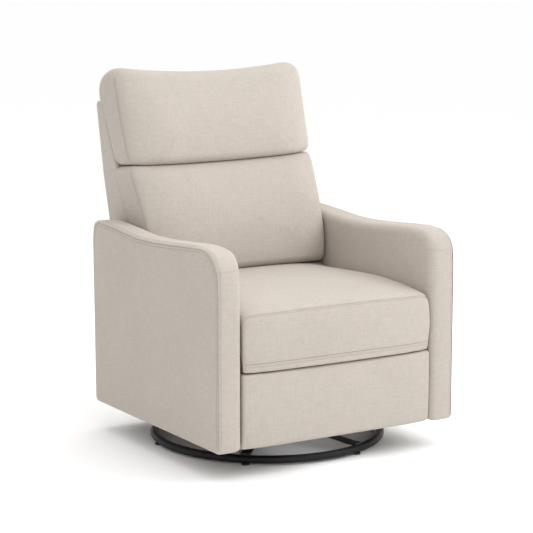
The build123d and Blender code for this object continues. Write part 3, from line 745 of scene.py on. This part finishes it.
def head_outline(x):
    """Side outline of the head cushion: dished along its top, higher at the sides."""
    u = min(1.0, abs(x) / HEAD["half"])
    top = 1000 + 23 * u ** 2 - end_fall(HEAD, x)
    low = crease(x / HEAD["half"]) + 0.5 + 0.25 * end_fall(HEAD, x)
    rise = top - 925
    front = [(face_at(HEAD, x, z), z, 40) for z in (925 + 0.5 * rise, 925, 880, 840, 800)]
    return smooth_outline([
        (686, low - 9, 6), (702, 760, 10), (768, 918, 6), (779, 919, 6), (785, 925 + 0.35 * rise, 20),
        (768, 925 + 0.8 * rise, 20), (728, top, 24), (face_at(HEAD, x, top) + 6, top - 4, 22),
    ] + front + [(face_at(HEAD, x, low + 16), low + 16, 24), (face_at(HEAD, x, low) + 10, low, 14),
                 (640, low - 4, 20)], 300)


def lumbar_outline(x):
    """Side outline of the lumbar cushion."""
    top = crease(x / LUMBAR["half"]) - end_fall(LUMBAR, x)
    front = [(face_at(LUMBAR, x, z), z, 40) for z in (top - 18, 700, 650, 600, 560, 530, 500)]
    return smooth_outline([
        (530, 449, 8), (610, 449, 8), (611, 500, 10), (634, 592, 10), (696, 738, 6), (686, top - 9.5, 6),
        (640, top - 4.5, 20), (face_at(LUMBAR, x, top) + 9, top, 12),
    ] + front + [(face_at(LUMBAR, x, 475), 475, 16), (face_at(LUMBAR, x, 460) + 2, 459, 12),
                 (face_at(LUMBAR, x, 450) + 8, 450, 8)], 300)


def back_piece(name, outline, piece, node, low, high):
    """A back cushion's cover with its side seams, between two heights."""
    half = piece["half"]
    obj = make(name, *loft(outline, -half, half, 7, 7))
    remesh(obj, 0.0055)
    smooth(obj, 2)
    co = get_points(obj)
    co[:, 0] *= table(piece["width"], in_mm(co)[2]) / half
    set_points(obj, co)

    def free(x, y, z):
        return (np.abs(x) < half - 14) & (y < table(piece["seam"], z) - 4) & (z > low + 24) & (z < high - 24)

    inflate(obj, 0.006, free)
    smooth(obj, 1)
    lines = [[(side * (table(piece["width"], z) - 0.5), table(piece["seam"], z) + 1, z)
              for z in np.linspace(low + 6, high - 6, 40)] for side in (-1, 1)]
    groove(obj, lines, 1.0, 4.5)
    finish_soft(obj, "back", [node])
    tree = surface(obj)
    seam(f"{name}_side_seams", "back", tree, lines, 0.0008, material=SOFT_THREAD)
    stitches(f"{name}_side_stitches", "back", tree, [[(x, y - 7, z) for x, y, z in line] for line in lines])


back_piece("head_cover", head_outline, HEAD, "head_cushion", 752, 1000)
back_piece("lumbar_cover", lumbar_outline, LUMBAR, "lumbar_cushion", 449, 748)


# ---------------------------------------------------------------- back shell, rear panel and footrest
SHELL_LOW, SHELL_HIGH = 262, 922
SHELL_SLOPE = 131 / 660  # how far the rear face moves back for its height
FOOT_HALF = 292


def shell_outline(x):
    """Side outline of the back shell's cover."""
    return smooth_outline([
        (771, 921, 12), (822, 921, 20), (759, 600, 10), (697, 264, 12), (677, 264, 8), (650, 400, 10),
        (613, 500, 8), (636, 592, 8),
    ], 360)


def shell_rear(z):
    """How far behind the arms' front the shell's rear face lies at a height."""
    return 697 + (z - SHELL_LOW) * SHELL_SLOPE


def panel_outline(x):
    """Side outline of the lower rear panel's cover."""
    return smooth_outline([(667, 74, 2), (696, 75, 8), (697, 230, 8), (667, 235, 2)], 200)


def footrest_outline(x):
    """Side outline of the footrest's cover: level across, with its ends drawn back."""
    front = -9 + 9 * min(1.0, abs(x) / FOOT_HALF) ** 8
    return smooth_outline([
        (66, 75.5, 2), (front + 6, 77.5, 9), (front + 2, 110, 30), (front, 170, 30), (front + 1, 250, 20),
        (front + 2, 274.6, 4), (66, 275.5, 2),
    ], 260)


def hold(obj, x, y, z):
    """Keeps a cover between limits in mm: clear of the arms, and close round its board."""
    low, high = (np.array(corner) * MM + (0, FRONT, 0) for corner in zip(x, y, z))
    set_points(obj, np.clip(get_points(obj), low, high))


shell = make("back_shell_cover", *loft(shell_outline, -291, 291, 8, 8))
remesh(shell, 0.006)
smooth(shell, 2)
co = get_points(shell)
x, y, z = in_mm(co)
co[:, 0] *= 1 + 0.015 * np.clip((z - 590) / 120, 0, 1)  # wider beside the head cushion
near = np.clip(1 - (shell_rear(z) - y) / 12, 0, 1)
belly = np.clip((z - SHELL_LOW) / 120, 0, 1) * np.clip((SHELL_HIGH - z) / 120, 0, 1)
belly *= np.clip(1 - (co[:, 0] / 0.27) ** 2, 0, 1)
co[:, 1] += 0.004 * near * belly  # the rear face is a little full
set_points(shell, co)
finish_soft(shell, "back", ["back_shell"])
corners = ((-281, 275), (-281, 600), (-284, 880), (-276, 905), (-250, 912), (250, 912), (276, 905),
           (284, 880), (281, 600), (281, 275))
rear_line = [(x, shell_rear(z) + 3, z) for x, z in corners]
seam("shell_rear_seam", "back", surface(shell), [rear_line], 0.0011, -0.0002)

rear_panel = make("rear_panel_cover", *loft(panel_outline, -297, 297, 2, 2))
remesh(rear_panel, 0.005)
smooth(rear_panel, 2)
hold(rear_panel, (-294.9, 294.9), (668, 696.5), (75.5, 233.2))
finish_soft(rear_panel, "chair", ["rear_lower_panel"])

foot = make("footrest_cover", *loft(footrest_outline, -294.5, 294.5, 3, 3))
remesh(foot, 0.0055)
smooth(foot, 2)
inflate(foot, 0.005, lambda x, y, z: (y < 6) & (z > 95) & (z < 258) & (np.abs(x) < 272))
smooth(foot, 1)
hold(foot, (-293.6, 293.6), (-100, 64.5), (76.5, 274.6))
finish_soft(foot, "footrest", ["footrest_pad"])
